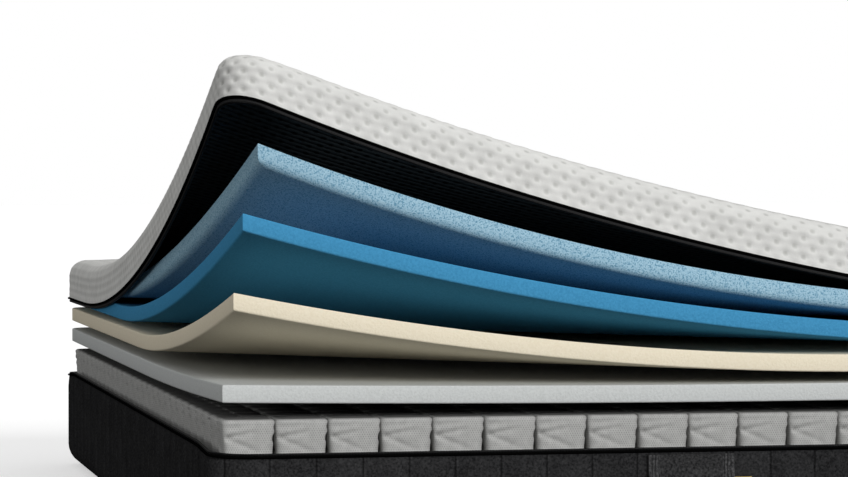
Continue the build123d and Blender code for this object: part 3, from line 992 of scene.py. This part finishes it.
top_half = tuple(h - EDGE_R - EDGE_FLAT + 0.0005 for h in TRAY_HALF)
top_dimples = (round(2 * top_half[0] / DIMPLE[0]), round(2 * top_half[1] / DIMPLE[1]))
top_panel = bmesh.new()
bmesh.ops.create_grid(
    top_panel, x_segments=4 * top_dimples[0], y_segments=2 * top_dimples[1], size=0.5
)
top_uv = top_panel.loops.layers.uv.new("surface")
for face in top_panel.faces:
    for loop in face.loops:
        co = loop.vert.co
        loop[top_uv].uv = ((co.x + 0.5) * top_dimples[0], (co.y + 0.5) * top_dimples[1])
for vertex in top_panel.verts:
    along, over = (vertex.co.x + 0.5) * top_dimples[0], (vertex.co.y + 0.5) * top_dimples[1]
    x, y = vertex.co.x * 2 * top_half[0], vertex.co.y * 2 * top_half[1]
    x, y = round_corners(x, y, top_half, CORNER_R - EDGE_R - EDGE_FLAT, False)
    edge_gap = min(top_half[0] - abs(x), top_half[1] - abs(y))
    sink = DIMPLE_DEPTH * dimple(along, over) * min(1.0, edge_gap / 0.010)
    vertex.co = (x, y, COVER_TOP - sink)
curl_up(top_panel, TRAY_HALF)
cover_top = finish_piece(
    top_panel, "cover_knit_top", "cover", cover_knit, ["cover_top"]
)
wadding_t = cover_top.modifiers.new("wadding", "SOLIDIFY")
wadding_t.thickness = COVER_TOP - COVER_CEILING - DIMPLE_DEPTH - 0.003
wadding_t.offset = -1.0

# --- Cover lining ---------------------------------------------------------------------------------
# A black ribbed spacer mesh sewn under the quilting, with a row of small dark holes in each
# rib. It is one sheet, turned down inside the border.

lining_mesh, tree, shader, place = start_material("black_spacer_mesh", 0.6)
# Ribs 10 mm apart along the length, holes every 9 mm, staggered from rib to rib, and painted shade in
# the grooves between the ribs.
RIB = 0.0105
HOLE = 0.0095
hole_field, over_ribs = staggered(tree, place, math.pi / HOLE, math.pi / RIB)
hole = add_node(tree, "ShaderNodeMapRange", {1: 0.35, 2: 0.85}, {0: hole_field})
rib_double = add_node(tree, "ShaderNodeMath", {"operation": "MULTIPLY", 1: 2.0}, {0: over_ribs})
rib_wave = add_node(tree, "ShaderNodeMath", {"operation": "COSINE"}, {0: rib_double.outputs[0]})
rib_height = add_node(tree, "ShaderNodeMapRange", {1: -1.0, 2: 1.0}, {0: rib_wave.outputs[0]})
mesh_height = add_node(
    tree,
    "ShaderNodeMath",
    {"operation": "ADD"},
    {0: rib_height.outputs[0], 1: hole.outputs[0]},
)
mesh_tone = add_node(tree, "ShaderNodeMix", {"data_type": "RGBA"}, {0: hole.outputs[0]})
mesh_tone.inputs[6].default_value = linear("#565b5e")
mesh_tone.inputs[7].default_value = linear("#0a0a0b")
# Painted shade in the grooves between the ribs.
rib_groove_shade = add_node(tree, "ShaderNodeMapRange", {1: 0.55, 2: 1.0}, {0: rib_height.outputs[0]})
ribbed = add_node(
    tree,
    "ShaderNodeMix",
    {"data_type": "RGBA", "blend_type": "MULTIPLY", 7: linear("#606060")},
    {0: rib_groove_shade.outputs[0], 6: mesh_tone.outputs[2]},
)
tree.links.new(ribbed.outputs[2], shader.inputs["Base Color"])
mesh_bump = add_node(
    tree,
    "ShaderNodeBump",
    {"Strength": 0.9, "Distance": 0.0012, "invert": True},
    {"Height": mesh_height.outputs[0]},
)
tree.links.new(mesh_bump.outputs["Normal"], shader.inputs["Normal"])
shader.inputs["Specular IOR Level"].default_value = 0.15

LINING_T = 0.0012
lining_half = (TRAY_HALF[0] - 0.0042, TRAY_HALF[1] - 0.0042)
LINING_DROP = COVER_CEILING - COVER_LOW - 0.003
lining = bmesh.new()
bmesh.ops.create_grid(lining, x_segments=110, y_segments=90, size=0.5)
for vertex in lining.verts:
    x = (2 * eased(vertex.co.x + 0.5, CROWDING) - 1) * lining_half[0]
    y = (2 * eased(vertex.co.y + 0.5, CROWDING) - 1) * lining_half[1]
    x, y = round_corners(x, y, lining_half, CORNER_R, False)
    vertex.co = (x, y, COVER_CEILING)
hem = [e for e in lining.edges if e.is_boundary]
bmesh.ops.recalc_face_normals(lining, faces=lining.faces)
down = bmesh.ops.extrude_edge_only(lining, edges=hem)
for vertex in [g for g in down["geom"] if isinstance(g, bmesh.types.BMVert)]:
    vertex.co.z -= LINING_DROP
curl_up(lining, TRAY_HALF)
lining_sheet = finish_piece(
    lining, "cover_lining_mesh", "cover", lining_mesh, ["cover_lining"]
)
lining_sheet.data.set_sharp_from_angle(angle=math.radians(50))
lining_t = lining_sheet.modifiers.new("mesh", "SOLIDIFY")
lining_t.thickness = LINING_T
lining_t.offset = -1.0

# --- Cover hem: piping, zip tape and zip teeth ------------------------------------------------------
# The same piping, tape and nylon coil as on the tray's rim, hanging from the cover's border.

hem_tape = (COVER_LOW - 0.0035, COVER_LOW + 0.001)
zip_edge(
    "cover",
    "cover",
    "upper",
    lambda bm: curl_up(bm, OUTER_HALF),
    COVER_LOW,
    hem_tape,
    COVER_LOW - 0.004,
)

# --- Carry straps -----------------------------------------------------------------------------------
# A doubled strap of the border's cloth, hemmed down both sides, bowed off the border so that a
# hand goes behind it, and sewn down at a patch above and below. The upper and lower halves
# run from the sewn ends to the middle.

STRAP_X = 0.509
STRAP_W = 0.090
STRAP_LOW = 0.012
STRAP_TOP = 0.123
STRAP_PATCH = 0.013
STRAP_T = 0.0030
STRAP_FOLD = 0.0015
STRAP_BOW = 0.0066
HEM_W = 0.012
STITCH_ROWS = (0.0035, 0.0070, 0.0105)
STITCH_DEPTH = 0.0006
STITCH_WIDTH = 0.0009
STRAP_GAP = 0.0004

strap_fabric, tree, shader, place = start_material("charcoal_melange_webbing", 0.9)
# The same dyed yarns, a little lighter, with painted shade in the stitch grooves and the middle a
# little darker than the hems.
fleck_grain = {"Scale": 380.0, "Detail": 3.0, "Roughness": 0.7}
fleck, yarn = mottled(tree, place, fleck_grain, "#29292a", "#5a5a5b", 0.36, 0.70)
split = add_node(tree, "ShaderNodeSeparateXYZ", {}, {"Vector": place})
side = add_node(tree, "ShaderNodeMath", {"operation": "ABSOLUTE"}, {0: split.outputs["X"]})
off_middle = add_node(
    tree, "ShaderNodeMath", {"operation": "SUBTRACT", 1: STRAP_X}, {0: side.outputs[0]}
)
across = add_node(tree, "ShaderNodeMath", {"operation": "ABSOLUTE"}, {0: off_middle.outputs[0]})
hem_share = add_node(
    tree,
    "ShaderNodeMapRange",
    {1: STRAP_W / 2, 2: STRAP_W / 2 - HEM_W},
    {0: across.outputs[0]},
)
# Painted shade along the stitch grooves; the middle between the hems is a little darker.
hem_tone_and_stitch_shade = add_node(tree, "ShaderNodeValToRGB", {}, {"Fac": hem_share.outputs[0]})
stops = hem_tone_and_stitch_shade.color_ramp.elements
stops[0].color = linear("#ffffff")
stops[1].color = linear("#c8c8c8")
for stitch in STITCH_ROWS:
    for offset, tone_here in ((-0.0007, "#ffffff"), (0.0, "#606060"), (0.0007, "#ffffff")):
        stops.new((stitch + offset) / HEM_W).color = linear(tone_here)
sewn = add_node(
    tree,
    "ShaderNodeMix",
    {"data_type": "RGBA", "blend_type": "MULTIPLY", 0: 1.0},
    {6: yarn, 7: hem_tone_and_stitch_shade.outputs["Color"]},
)
tree.links.new(sewn.outputs[2], shader.inputs["Base Color"])
weave = add_node(tree, "ShaderNodeBump", {"Strength": 0.5, "Distance": 0.0006}, {"Height": fleck})
tree.links.new(weave.outputs["Normal"], shader.inputs["Normal"])
shader.inputs["Specular IOR Level"].default_value = 0.0


def strap_groove(across):
    """Depth of the double stitch lines that hold the strap's side hems."""
    from_edge = STRAP_W / 2 - abs(across)
    rows = (math.exp(-(((from_edge - row) / STITCH_WIDTH) ** 2)) for row in STITCH_ROWS)
    return STITCH_DEPTH * sum(rows)


def strap_piece(name, side_x, facing, low, high):
    """Part of a strap between two heights, as a bent plate with stitch grooves."""
    bm = bmesh.new()
    bmesh.ops.create_grid(bm, x_segments=90, y_segments=10, size=0.5)
    middle, half_free = (STRAP_LOW + STRAP_TOP) / 2, (STRAP_TOP - STRAP_LOW) / 2 - STRAP_PATCH
    for vertex in bm.verts:
        across = vertex.co.x * STRAP_W
        z = low + (vertex.co.y + 0.5) * (high - low)
        t = min(1.0, abs(z - middle) / half_free)
        bow = STRAP_BOW * (1 - t * t) + STRAP_FOLD * t * t
        out = TRAY_HALF[1] + bow + STRAP_GAP + STRAP_T - strap_groove(across)
        vertex.co = (side_x + across, facing * out, z)
    inner = bmesh.ops.extrude_face_region(bm, geom=bm.faces[:])
    back = [g for g in inner["geom"] if isinstance(g, bmesh.types.BMVert)]
    bmesh.ops.translate(bm, verts=back, vec=(0, -facing * STRAP_T, 0))
    piece = finish_piece(bm, name, None, strap_fabric)
    piece.data.set_sharp_from_angle(angle=math.radians(50))
    return piece


strap_middle = (STRAP_LOW + STRAP_TOP) / 2
for side_name, facing in (("front", -1), ("rear", 1)):
    for end_name, side_x in (("left", -STRAP_X), ("right", STRAP_X)):
        node = f"{side_name}_{end_name}_handle"
        low_end, high_end = STRAP_LOW + STRAP_PATCH, STRAP_TOP - STRAP_PATCH
        lower = strap_piece(f"{node}_lower_half", side_x, facing, low_end, strap_middle)
        upper = strap_piece(f"{node}_upper_half", side_x, facing, strap_middle, high_end)
        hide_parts(node)
        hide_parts(node)
        y = facing * TRAY_HALF[1]
        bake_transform(lower)
        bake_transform(upper)

for end_name, low, high in (
    ("lower", STRAP_LOW, STRAP_LOW + STRAP_PATCH),
    ("upper", STRAP_TOP - STRAP_PATCH, STRAP_TOP + 0.001),
):
    for side_name, facing in (("front", -1), ("rear", 1)):
        for hand, side_x in (("left", -STRAP_X), ("right", STRAP_X)):
            patch = strap_piece(
                f"{side_name}_{hand}_{end_name}_strap_end", side_x, facing, low, high
            )
            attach(patch, "root")
            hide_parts(f"handle_{end_name}_ends")

# --- Side tag ---------------------------------------------------------------------------------------
# A plain gold satin ribbon, folded and sewn flat beside the strap. It bears no marking.

tag_satin, tree, shader, place = start_material("gold_satin_ribbon", 0.4)
# Satin threads run across the ribbon, about two to the millimetre.
threads = add_node(
    tree,
    "ShaderNodeTexWave",
    {"bands_direction": "Z", "Scale": 300.0, "Distortion": 0.6},
    {"Vector": place},
)
gold = add_node(tree, "ShaderNodeValToRGB", {}, {"Fac": threads.outputs["Fac"]})
gold.color_ramp.elements[0].color = linear("#a98a3f")
gold.color_ramp.elements[1].color = linear("#cfb266")
tree.links.new(gold.outputs["Color"], shader.inputs["Base Color"])
shader.inputs["Anisotropic"].default_value = 0.5

tag_low, tag_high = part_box("side_tag")
tag = bmesh.new()
bmesh.ops.create_grid(tag, x_segments=12, y_segments=24, size=0.5)
for vertex in tag.verts:
    x = tag_low.x + (vertex.co.x + 0.5) * (tag_high.x - tag_low.x)
    z = tag_low.z + (vertex.co.y + 0.5) * (tag_high.z - tag_low.z)
    wave = 0.0004 * math.sin(9 * vertex.co.y) + 0.0003 * math.cos(5 * vertex.co.x)
    vertex.co = (x, tag_low.y - 0.0016 - wave, z)
thick = bmesh.ops.extrude_face_region(tag, geom=tag.faces[:])
bmesh.ops.translate(
    tag, verts=[g for g in thick["geom"] if isinstance(g, bmesh.types.BMVert)], vec=(0, 0.001, 0)
)
finish_piece(tag, "gold_side_tag", "root", tag_satin, ["side_tag"])

# --- Zip slider and pull tab ------------------------------------------------------------------------
# Die-cast zinc, painted black, worn a little at its edges. Both keep their CAD shapes.

zip_metal, tree, shader, place = start_material("black_painted_zinc", 0.4)
# Thin paint over a casting: small pits and slightly paler rubbed patches.
_, colour = mottled(tree, place, {"Scale": 260.0, "Detail": 4.0}, "#0f0f10", "#3a3a3c", high=0.8)
tree.links.new(colour, shader.inputs["Base Color"])
refinish("zip_slider", zip_metal)
refinish("zip_pull_tab", zip_metal)

# --- Floor finish -----------------------------------------------------------------------------------
# A white paper sweep, lit from within so that it stays white up to the mattress.

sweep, tree, shader, place = start_material("white_paper_sweep", 0.9)
shader.inputs["Base Color"].default_value = linear("#f2f2f2")
shader.inputs["Emission Color"].default_value = (1.0, 1.0, 1.0, 1.0)
shader.inputs["Emission Strength"].default_value = 0.50
floor.data.materials.append(sweep)
